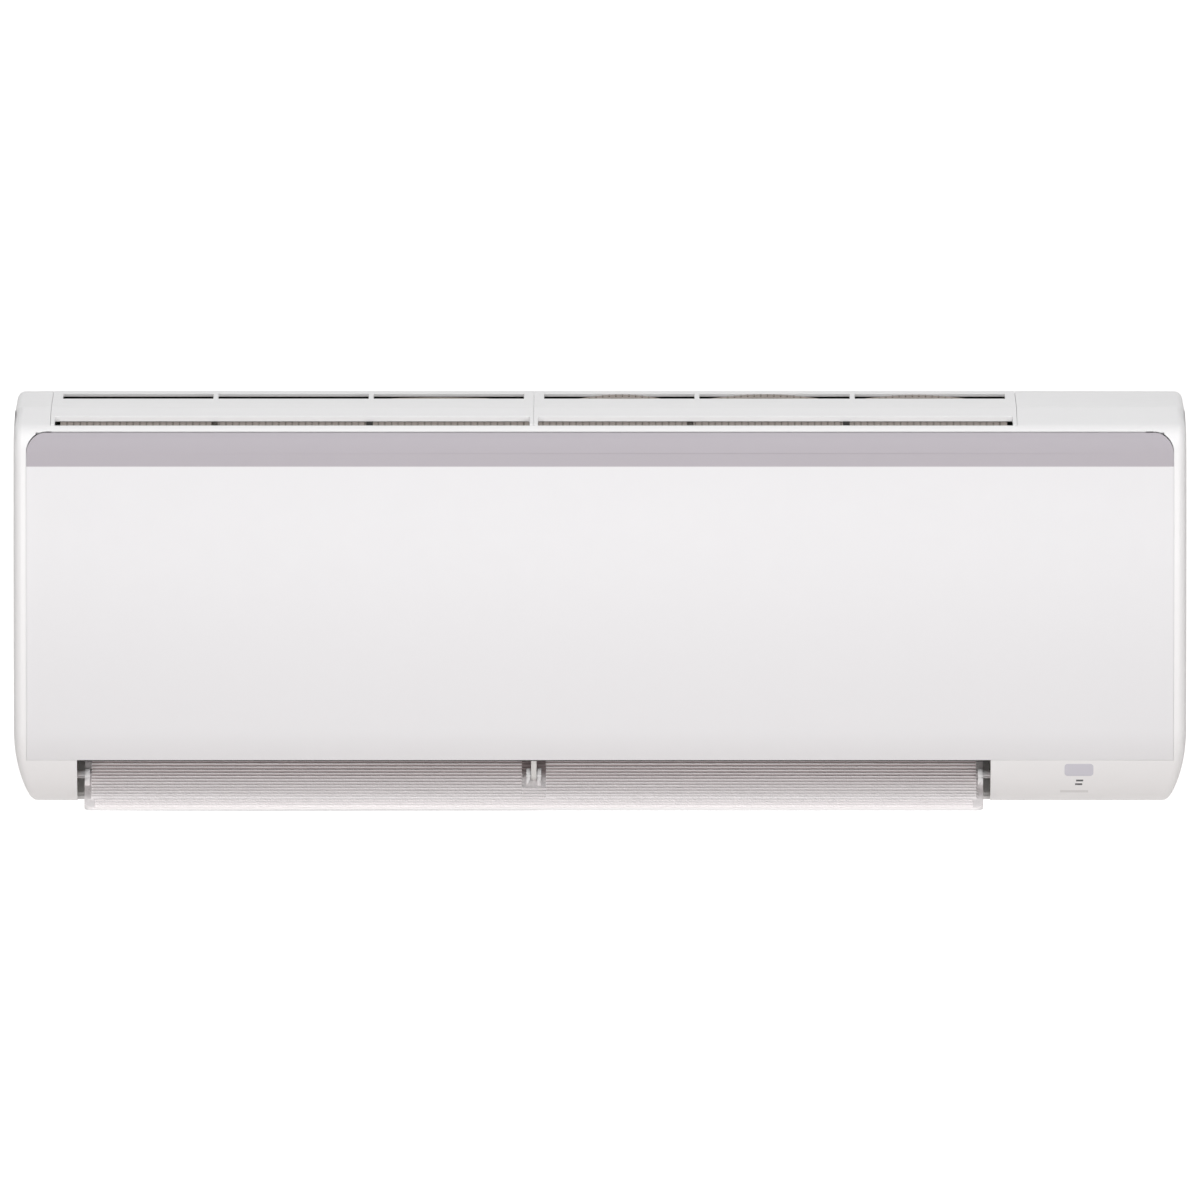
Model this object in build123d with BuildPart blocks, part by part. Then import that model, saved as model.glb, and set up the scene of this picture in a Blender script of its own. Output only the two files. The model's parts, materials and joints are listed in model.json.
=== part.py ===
import os
from math import cos, radians, sin, sqrt

from build123d import *

os.makedirs("parts", exist_ok=True)

# Body. Depth runs from the wall toward the front (-Y), height from the body's bottom, X from its middle.
BODY_WIDTH = 885.0
BODY_HEIGHT = 298.0
BODY_DEPTH = 229.0
BACK_GAP = 1.5
WALL = 2.5
RIDGE_SETBACK = 79.0
SLOPE_FALL = 0.16
FRONT_RADIUS = 700.0
FRONT_RISE = 16.0
SHOULDER_RADIUS = 26.0
CHIN_RADIUS = 69.0
TAPER_HEIGHT = 58.0
TAPER_SIDE = 13.5
END_RADIUS = 7.0
FIT = 0.5
CUT = 10.0

# Front panel and the grey band across its top.
PANEL_MARGIN = 9.8
PANEL_RISE = 19.13
PANEL_BOTTOM = 36.0
PANEL_CORNER = 14.5
PANEL_THICK = 2.5
PANEL_GAP = 4.5
SEAM = 0.35
SEAM_TOP = 1.2
BAND_HEIGHT = 24.5
BAND_THICK = 0.9
BAND_FREE = 10.0
HINGE_FORWARD = 8.87
HINGE_RISE = 19.63
HINGE_PIN_R = 1.6
HINGE_HUB_R = 2.4
HINGE_PLAY = 0.2
ARM_INSET = 9.4
ARM_THICK = 4.0
ARM_DROP = 13.0
ARM_HEIGHT = 7.0
ARM_ROOM = 6.0
PIN_REACH = 3.5

# Air path, which sits left of the middle because the controls take the right end.
LEFT_MARGIN = 47.5
RIGHT_MARGIN = 147.5
INTAKE_SPREAD = 20.0
INTAKE_RUN = 55.0
INTAKE_CUT = 20.0
GRILLE_BACK = 27.0
GRILLE_SLOT = 46.0
GRILLE_EDGE = 4.0
GRILLE_RUN = 29.0
GRILLE_LIP = 2.0
GRILLE_END = 7.5
GRILLE_GAP = 0.4
GRILLE_TAB = 3.0
RIB_WIDTH = 3.8
BAYS = 3
OUTLET_TOP = 37.0
OUTLET_BEHIND = 5.65
WINDOW_LOW = 129.0
WINDOW_DROP = 91.0
WINDOW_BAR = 8.0
FILTER_INSET = 10.2
FILTER_THICK = 2.0
FILTER_BOTTOM = 74.0
FILTER_BACK = 20.0
FILTER_BAR = 5.0
FILTER_APART = 2.0

# Flap, drawn about its pivot in the closed position and turned by the opening angle of the photograph.
PIVOT_FORWARD = 27.35
PIVOT_HEIGHT = 22.0
FLAP_OPEN = 68.0
FLAP_GAP = 5.5
FLAP_TOP = 34.5
FLAP_BEHIND = 2.65
FLAP_EDGE = 2.4
FLAP_CORNER = 6.5
FLAP_INNER_RADIUS = 250.0
RIB_START = 4.0
RIB_STEP = 3.3
RIB_HEIGHT = 1.4
RIB_BASE = 1.8
RIB_TIP = 0.7
RIB_ROOT = 0.6
RIB_COUNT = 17
RIB_END = 5.0
PAD_HALF = 9.0
FLAP_PIN_R = 3.0
PIN_PLAY = 0.05
LUG_R = 4.6
LUG_THICK = 4.0
LUG_SINK = 8.0
LUG_SPREAD = 9.0
MIDDLE_LUG = 3.0
MIDDLE_PIN_R = 2.4
MIDDLE_GAP = 0.6
BRACKET_THICK = 4.0
BRACKET_R = 4.4

# Fan, heat exchanger, drain pan and duct.
FAN_BACK = 2.5
FAN_DROP = 31.0
FAN_R = 48.0
FAN_BLADES = 17
FAN_END = 3.0
BLADE_CHORD = 13.5
BLADE_BEND = 1.8
BLADE_THICK = 1.2
BLADE_TURN = 38.0
BLADE_RIM = 7.0
DISC_THICK = 3.0
SHAFT_R = 6.0
SIDE_THICK = 5.0
COIL_THICK = 24.0
COIL_DROP = 110.0
COIL_TOP = 26.0
COIL_FRONT = 28.0
ROOF_FORWARD = 4.35
ROOF_HIGH = 80.0
ROOF_LOW = 41.1
PAN_WALL = 2.0
PAN_KNEE = 50.0
PAN_FLOOR = 62.0
PAN_TOP = 72.0
PAN_LIP = 86.0
PAN_FIT = 2.8
VANE_THICK = 1.6
VANE_COUNT = 6
VANE_START = 28.0
VANE_LIFT = 6.0

# Rear frame with the scroll behind the fan and the channel for the pipes along the back.
FRAME_BACK = 4.0
FRAME_THICK = 4.0
FRAME_DROP = 5.0
SCROLL_GAP = 8.0
TONGUE_BACK = 66.0
TONGUE_RISE = 54.0
FOOT_BEHIND = 64.65
FOOT_DROP = 63.0
CHANNEL_BEHIND = 40.0
CHANNEL_LOW = 12.0
CHANNEL_HIGH = 60.0
CHANNEL_TOP = 66.0
POCKETS = 8
POCKET_RIB = 10.0

# Display at the lower right: inset of the middle from the right end, width, and heights from the bottom.
RECEIVER = (80.8, 21.8, 23.0, 32.8)
LAMP_UPPER = (80.2, 5.4, 18.4, 19.9)
LAMP_LOWER = (80.9, 5.4, 15.3, 16.8)
SWITCH = (84.2, 21.2, 8.8, 10.8)
RECEIVER_CORNER = 2.5
DISPLAY_SINK = 0.2
DISPLAY_THICK = 1.6

# Covers over the pipe openings, low on both sides.
COVER_MIDDLE = (39.0, 88.0)
COVER_SIZE = (50.0, 48.0)

# Wall plate, its screw holes and the hooks along its top.
PLATE_WIDTH = 640.0
PLATE_HEIGHT = 190.0
PLATE_THICK = 1.2
PLATE_CORNER = 8.0
PLATE_SLOT = (70.0, 26.0)
SCREW_X = 500.0
SCREW_Z = 130.0
SCREW_R = 3.0
HOOK_X = 230.0
HOOK_WIDTH = 44.0
HOOK_RISE = 10.0
HOOK_DEPTH = 12.0
HOOK_TIP = 7.4
HOOK_PLAY = 1.0

HALF = BODY_WIDTH / 2
RIDGE_DEPTH = BODY_DEPTH - RIDGE_SETBACK
FRONT_MIDDLE = BODY_HEIGHT / 2 + FRONT_RISE
FRONT_CENTRE = BODY_DEPTH - FRONT_RADIUS
CHIN_DEPTH = FRONT_CENTRE + sqrt((FRONT_RADIUS - CHIN_RADIUS) ** 2 - (FRONT_MIDDLE - CHIN_RADIUS) ** 2)
RECESS = PANEL_THICK + PANEL_GAP


def side(depth, height):
    return (-depth, height - BODY_HEIGHT / 2)


def front_depth(height):
    return FRONT_CENTRE + sqrt(FRONT_RADIUS**2 - (height - FRONT_MIDDLE) ** 2)


def chin_depth(height, inset):
    return CHIN_DEPTH + sqrt((CHIN_RADIUS - inset) ** 2 - (CHIN_RADIUS - height) ** 2)


def top_height(depth):
    return BODY_HEIGHT - (depth - RIDGE_DEPTH) * SLOPE_FALL


# Where the top's slope, moved in square to itself, meets a circle about the middle of the front's curve.
def slope_meets(radius, moved):
    lean = sqrt(1 + SLOPE_FALL**2)
    rise = top_height(FRONT_CENTRE) - moved * lean - FRONT_MIDDLE
    reach = (rise * SLOPE_FALL + sqrt((radius * lean) ** 2 - rise**2)) / lean**2
    return FRONT_CENTRE + reach, FRONT_MIDDLE + rise - reach * SLOPE_FALL


SHOULDER_DEPTH, SHOULDER_HEIGHT = slope_meets(FRONT_RADIUS - SHOULDER_RADIUS, SHOULDER_RADIUS)
PANEL_HALF = HALF - PANEL_MARGIN
PANEL_TOP = SHOULDER_HEIGHT + PANEL_RISE
HINGE_DEPTH = SHOULDER_DEPTH + HINGE_FORWARD
HINGE_HEIGHT = SHOULDER_HEIGHT + HINGE_RISE
ARM_OFFSET = PANEL_HALF - ARM_INSET
AIR_LEFT = LEFT_MARGIN - HALF
AIR_RIGHT = HALF - RIGHT_MARGIN
AIR_X = (AIR_LEFT + AIR_RIGHT) / 2
OUTLET_WIDTH = AIR_RIGHT - AIR_LEFT
INTAKE_HALF = OUTLET_WIDTH / 2 + INTAKE_SPREAD
INTAKE_LIP = RIDGE_DEPTH + INTAKE_RUN
GRILLE_FRONT = RIDGE_DEPTH + GRILLE_RUN
OUTLET_BACK = CHIN_DEPTH - OUTLET_BEHIND
PIVOT_DEPTH = CHIN_DEPTH + PIVOT_FORWARD
FLAP_BACK = CHIN_DEPTH - FLAP_BEHIND
FAN_DEPTH = BODY_DEPTH / 2 - FAN_BACK
FAN_HEIGHT = BODY_HEIGHT / 2 - FAN_DROP
FOOT_DEPTH = CHIN_DEPTH - FOOT_BEHIND
FOOT_HEIGHT = FAN_HEIGHT - FOOT_DROP
CHANNEL_DEPTH = FOOT_DEPTH - CHANNEL_BEHIND
PAN_INSET = RECESS + WALL + PAN_FIT
COIL_KNEE = BODY_HEIGHT - COIL_DROP


# Side section of the body, drawn in by a given amount.
def body_section(inset):
    corner = side(*slope_meets(FRONT_RADIUS, 0.0))
    chin = side(front_depth(0.0), 0.0)
    with BuildSketch(Plane.YZ) as section:
        with BuildLine():
            Polyline(
                chin,
                side(BACK_GAP, 0.0),
                side(BACK_GAP, BODY_HEIGHT),
                side(RIDGE_DEPTH, BODY_HEIGHT),
                corner,
            )
            ThreePointArc(corner, side(BODY_DEPTH, FRONT_MIDDLE), chin)
        make_face()
        fillet(section.vertices().sort_by_distance(corner)[0], SHOULDER_RADIUS)
        fillet(section.vertices().sort_by_distance(chin)[0], CHIN_RADIUS)
        if inset:
            offset(amount=-inset, kind=Kind.INTERSECTION)
    return section.sketch


# Front outline of the body: upright sides that draw in toward the bottom.
def front_outline(inset):
    low = -BODY_HEIGHT / 2
    with BuildSketch(Plane.XZ) as outline:
        with BuildLine():
            right = TangentArc((HALF, low + TAPER_HEIGHT), (HALF - TAPER_SIDE, low), tangent=(0, -1))
            left = TangentArc((-HALF, low + TAPER_HEIGHT), (-HALF + TAPER_SIDE, low), tangent=(0, -1))
            Polyline(right @ 0, (HALF, -low), (-HALF, -low), left @ 0)
            Line(right @ 1, left @ 1)
        make_face()
        if inset:
            offset(amount=-inset, kind=Kind.INTERSECTION)
    return outline.sketch


# Front outline of the panel, grown by given amounts for the recess that takes it.
def panel_outline(grow, grow_top):
    high = PANEL_TOP - BODY_HEIGHT / 2 + grow_top
    low = PANEL_BOTTOM - BODY_HEIGHT / 2 - grow
    with BuildSketch(Plane.XZ.offset(RIDGE_DEPTH)) as outline:
        with Locations((0, (high + low) / 2)):
            Rectangle(2 * (PANEL_HALF + grow), high - low)
        fillet(outline.vertices().group_by(Axis.Y)[-1], PANEL_CORNER + grow)
    return outline.sketch


# Front outline of one piece of the display.
def display_outline(piece, radius):
    inset, width, low, high = piece
    with BuildSketch(Plane.XZ.offset(RIDGE_DEPTH)) as outline:
        with Locations((HALF - inset, (low + high) / 2 - BODY_HEIGHT / 2)):
            Rectangle(width, high - low)
        if radius:
            fillet(outline.vertices(), radius)
    return outline.sketch


# A closed polygon on the side view, given by depths and heights.
def side_polygon(points, x_start):
    with BuildSketch(Plane.YZ.offset(x_start)) as shape:
        with BuildLine():
            Polyline(*[side(depth, height) for depth, height in points], close=True)
        make_face()
    return shape.sketch


# A block given by its middle X and width, its depths and its heights.
def block(x_mid, width, depths, heights):
    y_mid, z_mid = side(sum(depths) / 2, sum(heights) / 2)
    with BuildPart() as shape:
        with Locations((x_mid, y_mid, z_mid)):
            Box(width, depths[1] - depths[0], heights[1] - heights[0])
    return shape.part


# Wall plate: sheet steel screwed to the wall, with two hooks along the top that the unit hangs on.
HOOK_TOP = PLATE_HEIGHT / 2 + HOOK_RISE
HOOK_ENDS = (-HOOK_X, HOOK_X)
with BuildPart() as wall_plate:
    with BuildSketch(Plane.XZ):
        plate = Rectangle(PLATE_WIDTH, PLATE_HEIGHT)
        chamfer(plate.vertices(), PLATE_CORNER)
        with GridLocations(SCREW_X, SCREW_Z, 2, 2):
            Circle(SCREW_R, mode=Mode.SUBTRACT)
        with GridLocations(SCREW_X / 2, 0, 2, 1):
            Rectangle(*PLATE_SLOT, mode=Mode.SUBTRACT)
        with Locations(*[(x, PLATE_HEIGHT / 2) for x in HOOK_ENDS]):
            Rectangle(HOOK_WIDTH, 2 * HOOK_RISE)
    extrude(amount=PLATE_THICK)
    with Locations(*[(x, -HOOK_DEPTH / 2, HOOK_TOP - PLATE_THICK / 2) for x in HOOK_ENDS]):
        Box(HOOK_WIDTH, HOOK_DEPTH, PLATE_THICK)
    tip_height = HOOK_TOP + HOOK_TIP / 2 - PLATE_THICK
    with Locations(*[(x, PLATE_THICK / 2 - HOOK_DEPTH, tip_height) for x in HOOK_ENDS]):
        Box(HOOK_WIDTH, PLATE_THICK, HOOK_TIP)
wall_plate.part.label = "wall_plate"
export_step(wall_plate.part, "parts/wall_plate.step")

# Rear frame: the moulded back of the unit, with the scroll that guides air round the fan, and a folded
# wall behind which the pipes lie.
SCROLL_DEPTH = FAN_DEPTH - FAN_R - SCROLL_GAP
FRAME_FRONT = FRAME_BACK + FRAME_THICK
FRAME_TOP = BODY_HEIGHT - FRAME_DROP
TONGUE = (FAN_DEPTH - TONGUE_BACK, FAN_HEIGHT + TONGUE_RISE)
SCROLL_FOOT = (FOOT_DEPTH, FOOT_HEIGHT)
SCROLL_LIP = (OUTLET_BACK - 2 * FIT, 2 * WALL)
CHANNEL = [
    (CHANNEL_DEPTH + FRAME_THICK, WALL),
    (CHANNEL_DEPTH, CHANNEL_LOW),
    (CHANNEL_DEPTH, CHANNEL_HIGH),
    (FRAME_BACK, CHANNEL_TOP),
]
SHELF = (FRAME_FRONT, TONGUE[1] + TONGUE[0] - FRAME_FRONT)
with BuildPart() as scroll_block:
    with BuildSketch(Plane.YZ.offset(AIR_LEFT - SIDE_THICK)):
        with BuildLine():
            Polyline(
                side(*SCROLL_LIP),
                side(SCROLL_LIP[0], WALL),
                *[side(*point) for point in CHANNEL],
                side(FRAME_BACK, SHELF[1]),
                side(*SHELF),
                side(*TONGUE),
            )
            ThreePointArc(side(*TONGUE), side(SCROLL_DEPTH, FAN_HEIGHT), side(*SCROLL_FOOT))
            Line(side(*SCROLL_FOOT), side(*SCROLL_LIP))
        make_face()
    extrude(amount=OUTLET_WIDTH + 2 * SIDE_THICK)

with BuildPart() as rear_frame:
    folded = CHANNEL + [(depth + FRAME_THICK, height + FRAME_THICK) for depth, height in reversed(CHANNEL)]
    extrude(side_polygon(folded, -HALF), amount=BODY_WIDTH)
    add(block(0, BODY_WIDTH, (FRAME_BACK, FRAME_FRONT), (CHANNEL_TOP, FRAME_TOP)))
    extrude(front_outline(WALL + FIT), amount=BODY_DEPTH + CUT, both=True, mode=Mode.INTERSECT)
    add(scroll_block.part)
    pitch = OUTLET_WIDTH / POCKETS
    pocket_heights = (FAN_HEIGHT - FOOT_DROP / 2, FAN_HEIGHT + TONGUE_RISE - POCKET_RIB)
    for i in range(POCKETS):
        x_mid = AIR_LEFT + (i + 0.5) * pitch
        pocket = block(x_mid, pitch - POCKET_RIB, (0, SCROLL_DEPTH - 2 * SCROLL_GAP), pocket_heights)
        add(pocket, mode=Mode.SUBTRACT)
    with Locations(*[(x, -HOOK_DEPTH / 2, HOOK_TOP - HOOK_RISE / 2) for x in HOOK_ENDS]):
        Box(HOOK_WIDTH + 2 * HOOK_PLAY, HOOK_DEPTH, HOOK_RISE, mode=Mode.SUBTRACT)
rear_frame.part.label = "rear_frame"
export_step(rear_frame.part, "parts/rear_frame.step")

# Hollow of the casing: thin walls above and below, and a front wall set back behind the panel.
SHOULDER_BACK = SHOULDER_DEPTH - PANEL_GAP
with BuildPart() as thin_hollow:
    extrude(body_section(WALL), amount=HALF - WALL, both=True)
    add(block(0, BODY_WIDTH, (0, SHOULDER_BACK), (0, BODY_HEIGHT)), mode=Mode.INTERSECT)

with BuildPart() as cavity:
    extrude(body_section(RECESS + WALL), amount=HALF - WALL, both=True)
    add(thin_hollow.part)
    add(block(0, BODY_WIDTH - 2 * WALL, (-CUT, 2 * CUT), (WALL, BODY_HEIGHT - WALL)))
    extrude(front_outline(WALL), amount=BODY_DEPTH + CUT, both=True, mode=Mode.INTERSECT)

# Space in front of the casing's set-back wall that the panel fills.
REACH = RIDGE_SETBACK + CUT
with BuildPart() as recess:
    extrude(panel_outline(SEAM, SEAM_TOP), amount=REACH)
    extrude(body_section(RECESS), amount=HALF, both=True, mode=Mode.SUBTRACT)

# Receiver window, lamp lenses and switch bar: skins let into the casing's lower right corner.
with BuildPart() as receiver_window:
    extrude(display_outline(RECEIVER, RECEIVER_CORNER), amount=REACH)
    extrude(body_section(DISPLAY_SINK), amount=HALF, both=True, mode=Mode.INTERSECT)
    extrude(body_section(DISPLAY_THICK), amount=HALF, both=True, mode=Mode.SUBTRACT)
receiver_window.part.label = "receiver_window"
export_step(receiver_window.part, "parts/receiver_window.step")

with BuildPart() as lamp_lenses:
    extrude(display_outline(LAMP_UPPER, 0), amount=REACH)
    extrude(display_outline(LAMP_LOWER, 0), amount=REACH)
    extrude(body_section(DISPLAY_SINK), amount=HALF, both=True, mode=Mode.INTERSECT)
    extrude(body_section(DISPLAY_THICK), amount=HALF, both=True, mode=Mode.SUBTRACT)
lamp_lenses.part.label = "lamp_lenses"
export_step(lamp_lenses.part, "parts/lamp_lenses.step")

with BuildPart() as switch_bar:
    extrude(display_outline(SWITCH, 0), amount=REACH)
    extrude(body_section(0), amount=HALF, both=True, mode=Mode.INTERSECT)
    extrude(body_section(DISPLAY_THICK), amount=HALF, both=True, mode=Mode.SUBTRACT)
switch_bar.part.label = "switch_bar"
export_step(switch_bar.part, "parts/switch_bar.step")

# Pockets for those pieces, open to the front.
with BuildPart() as pockets:
    extrude(display_outline(RECEIVER, RECEIVER_CORNER), amount=REACH)
    for piece in (LAMP_UPPER, LAMP_LOWER, SWITCH):
        extrude(display_outline(piece, 0), amount=REACH)
    extrude(body_section(DISPLAY_THICK), amount=HALF, both=True, mode=Mode.SUBTRACT)

# Casing: the white moulding round the unit, with the panel's recess, filter windows, intake and outlet.
with BuildPart() as front_casing:
    extrude(body_section(0), amount=HALF, both=True)
    extrude(front_outline(0), amount=BODY_DEPTH + CUT, both=True, mode=Mode.INTERSECT)
    ends = front_casing.faces().filter_by(lambda f: abs(f.center().X) > HALF - TAPER_SIDE - 1)
    rim = ends.edges().filter_by(lambda e: e.center().Y < -BACK_GAP - 1).filter_by(Axis.Y, reverse=True)
    fillet(rim, END_RADIUS)
    add(cavity.part, mode=Mode.SUBTRACT)
    add(recess.part, mode=Mode.SUBTRACT)
    add(pockets.part, mode=Mode.SUBTRACT)
    intake_heights = (BODY_HEIGHT - INTAKE_CUT, BODY_HEIGHT + CUT)
    add(block(AIR_X, 2 * INTAKE_HALF, (-CUT, INTAKE_LIP), intake_heights), mode=Mode.SUBTRACT)
    add(block(AIR_X, OUTLET_WIDTH, (OUTLET_BACK, BODY_DEPTH + CUT), (-CUT, OUTLET_TOP)), mode=Mode.SUBTRACT)
    window_pitch = OUTLET_WIDTH / (2 * BAYS)
    window_depths = (BODY_DEPTH - 2 * RECESS - CUT, BODY_DEPTH)
    window_heights = (WINDOW_LOW, BODY_HEIGHT - WINDOW_DROP)
    for i in range(2 * BAYS):
        x_mid = AIR_LEFT + (i + 0.5) * window_pitch
        window = block(x_mid, window_pitch - WINDOW_BAR, window_depths, window_heights)
        add(window, mode=Mode.SUBTRACT)
    slot_back = HINGE_DEPTH - ARM_ROOM
    slot_front = BODY_DEPTH + CUT
    slot_low = HINGE_HEIGHT - ARM_DROP - ARM_HEIGHT - ARM_ROOM
    slot_high = HINGE_HEIGHT + HINGE_HUB_R + HINGE_PLAY
    arm_slot = [
        (slot_back, slot_low),
        (slot_back, slot_high),
        (HINGE_DEPTH + HINGE_HUB_R, slot_high),
        (HINGE_DEPTH + 3 * HINGE_HUB_R, HINGE_HEIGHT),
        (slot_front, HINGE_HEIGHT),
        (slot_front, slot_low),
    ]
    for x_arm in (-ARM_OFFSET, ARM_OFFSET):
        slot_width = ARM_THICK + 2 * FIT
        extrude(side_polygon(arm_slot, x_arm - slot_width / 2), amount=slot_width, mode=Mode.SUBTRACT)
        with BuildSketch(Plane.YZ.offset(x_arm)):
            with Locations(side(HINGE_DEPTH, HINGE_HEIGHT)):
                Circle(HINGE_PIN_R + PIN_PLAY)
        extrude(amount=ARM_THICK / 2 + PIN_REACH + FIT, both=True, mode=Mode.SUBTRACT)
    for x_side in (-HALF, HALF):
        with Locations((x_side, *side(*COVER_MIDDLE))):
            Box(4 * WALL, *COVER_SIZE, mode=Mode.SUBTRACT)
front_casing.part.label = "front_casing"
export_step(front_casing.part, "parts/front_casing.step")

# Side covers: snap-in plates over the pipe openings.
COVER_LONG = COVER_SIZE[0] - 2 * GRILLE_GAP
COVER_TALL = COVER_SIZE[1] - 2 * GRILLE_GAP
with BuildPart() as pipe_cover_left:
    with Locations((WALL / 2 - HALF, *side(*COVER_MIDDLE))):
        Box(WALL, COVER_LONG, COVER_TALL)
pipe_cover_left.part.label = "pipe_cover_left"
export_step(pipe_cover_left.part, "parts/pipe_cover_left.step")

with BuildPart() as pipe_cover_right:
    with Locations((HALF - WALL / 2, *side(*COVER_MIDDLE))):
        Box(WALL, COVER_LONG, COVER_TALL)
pipe_cover_right.part.label = "pipe_cover_right"
export_step(pipe_cover_right.part, "parts/pipe_cover_right.step")


# Intake grille half: slots at the back, a wide slat with a turned-down front edge, a rear wall that hangs
# behind the frame, and a tab at each end that lies on the casing's lip.
def grille_half(start, end):
    edge_height = top_height(GRILLE_FRONT)
    edge_back = GRILLE_FRONT - GRILLE_LIP
    under = BODY_HEIGHT - WALL
    section = [
        (BACK_GAP, BODY_HEIGHT),
        (RIDGE_DEPTH, BODY_HEIGHT),
        (GRILLE_FRONT, edge_height),
        (GRILLE_FRONT, edge_height - GRILLE_EDGE),
        (edge_back, edge_height - GRILLE_EDGE),
        (edge_back, edge_height - WALL + SLOPE_FALL * GRILLE_LIP),
        (RIDGE_DEPTH, under),
        (FRAME_BACK, under),
        (FRAME_BACK, FRAME_TOP - GRILLE_EDGE),
        (BACK_GAP, FRAME_TOP - GRILLE_EDGE),
    ]
    tab_front = INTAKE_LIP - GRILLE_GAP
    tab = [
        (edge_back, edge_height),
        (GRILLE_FRONT, edge_height),
        (tab_front, top_height(tab_front)),
        (tab_front, top_height(tab_front) - WALL),
        (edge_back, edge_height - GRILLE_EDGE),
    ]
    slot_depths = (GRILLE_BACK, GRILLE_BACK + GRILLE_SLOT)
    with BuildPart() as half:
        extrude(side_polygon(section, start), amount=end - start)
        for x_tab in (start, end - GRILLE_TAB):
            extrude(side_polygon(tab, x_tab), amount=GRILLE_TAB)
        bay = (end - start - 2 * GRILLE_END - (BAYS - 1) * RIB_WIDTH) / BAYS
        for i in range(BAYS):
            x_mid = start + GRILLE_END + bay / 2 + i * (bay + RIB_WIDTH)
            slot = block(x_mid, bay, slot_depths, (BODY_HEIGHT - INTAKE_CUT, BODY_HEIGHT + CUT))
            add(slot, mode=Mode.SUBTRACT)
    return half.part


with BuildPart() as intake_grille_left:
    add(grille_half(AIR_X - INTAKE_HALF + GRILLE_GAP, AIR_X - GRILLE_GAP / 2))
intake_grille_left.part.label = "intake_grille_left"
export_step(intake_grille_left.part, "parts/intake_grille_left.step")

with BuildPart() as intake_grille_right:
    add(grille_half(AIR_X + GRILLE_GAP / 2, AIR_X + INTAKE_HALF - GRILLE_GAP))
intake_grille_right.part.label = "intake_grille_right"
export_step(intake_grille_right.part, "parts/intake_grille_right.step")


# Filter frame: a bent sheet that follows the inside of the casing from the front up and over to the back.
def filter_frame(start, end):
    width = end - start
    bay = (width - (BAYS + 1) * FILTER_BAR) / BAYS
    row = (SHOULDER_HEIGHT - FILTER_BOTTOM - 3 * FILTER_BAR) / 2
    run = (SHOULDER_DEPTH - FILTER_BACK - 3 * FILTER_BAR) / 2
    with BuildPart() as frame:
        extrude(body_section(FILTER_INSET), amount=HALF, both=True)
        extrude(body_section(FILTER_INSET + FILTER_THICK), amount=HALF, both=True, mode=Mode.SUBTRACT)
        limits = block((start + end) / 2, width, (FILTER_BACK, BODY_DEPTH), (FILTER_BOTTOM, BODY_HEIGHT))
        add(limits, mode=Mode.INTERSECT)
        for i in range(BAYS):
            x_bay = start + FILTER_BAR + bay / 2 + i * (bay + FILTER_BAR)
            for j in range(2):
                low = FILTER_BOTTOM + FILTER_BAR + j * (row + FILTER_BAR)
                back = FILTER_BACK + FILTER_BAR + j * (run + FILTER_BAR)
                add(block(x_bay, bay, (SHOULDER_DEPTH, BODY_DEPTH), (low, low + row)), mode=Mode.SUBTRACT)
                add(block(x_bay, bay, (back, back + run), (SHOULDER_HEIGHT, BODY_HEIGHT)), mode=Mode.SUBTRACT)
    return frame.part


FILTER_REACH = INTAKE_HALF - GRILLE_END
with BuildPart() as air_filter_left:
    add(filter_frame(AIR_X - FILTER_REACH, AIR_X - FILTER_APART))
air_filter_left.part.label = "air_filter_left"
export_step(air_filter_left.part, "parts/air_filter_left.step")

with BuildPart() as air_filter_right:
    add(filter_frame(AIR_X + FILTER_APART, AIR_X + FILTER_REACH))
air_filter_right.part.label = "air_filter_right"
export_step(air_filter_right.part, "parts/air_filter_right.step")


# Finned coil block between the duct sides, given by the two ends of its middle line.
def coil(low, high):
    length = sqrt((high[0] - low[0]) ** 2 + (high[1] - low[1]) ** 2)
    across = ((high[1] - low[1]) / length * COIL_THICK / 2, -(high[0] - low[0]) / length * COIL_THICK / 2)
    corners = [
        (low[0] - across[0], low[1] - across[1]),
        (low[0] + across[0], low[1] + across[1]),
        (high[0] + across[0], high[1] + across[1]),
        (high[0] - across[0], high[1] - across[1]),
    ]
    return side_polygon(corners, AIR_LEFT)


with BuildPart() as coil_front:
    foot = (PIVOT_DEPTH + COIL_THICK / 2 + FIT, PAN_TOP + 2 * FIT)
    extrude(coil(foot, (BODY_DEPTH - COIL_FRONT, COIL_KNEE)), amount=OUTLET_WIDTH)
coil_front.part.label = "coil_front"
export_step(coil_front.part, "parts/coil_front.step")

with BuildPart() as coil_upper:
    foot = (BODY_DEPTH - COIL_FRONT - SIDE_THICK, COIL_KNEE + COIL_THICK / 2 + 2 * FIT)
    extrude(coil(foot, (RIDGE_DEPTH - COIL_THICK / 3, BODY_HEIGHT - COIL_TOP)), amount=OUTLET_WIDTH)
coil_upper.part.label = "coil_upper"
export_step(coil_upper.part, "parts/coil_upper.step")

with BuildPart() as coil_rear:
    foot = (TONGUE[0] + COIL_THICK / 2 + 2 * WALL, TONGUE[1] + COIL_THICK - SIDE_THICK)
    top = (RIDGE_DEPTH - COIL_THICK - SCROLL_GAP, BODY_HEIGHT - COIL_TOP)
    extrude(coil(foot, top), amount=OUTLET_WIDTH)
coil_rear.part.label = "coil_rear"
export_step(coil_rear.part, "parts/coil_rear.step")

# Drain pan: a trough under the front coil, whose underside is the roof of the outlet.
ROOF_BACK = (CHIN_DEPTH + ROOF_FORWARD, ROOF_HIGH)
ROOF_FRONT = (chin_depth(ROOF_LOW, PAN_INSET), ROOF_LOW)
PAN_FRONT = front_depth(PAN_TOP) - PAN_INSET


def roof_height(depth):
    share = (depth - ROOF_BACK[0]) / (ROOF_FRONT[0] - ROOF_BACK[0])
    return ROOF_HIGH + share * (ROOF_LOW - ROOF_HIGH)


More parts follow.
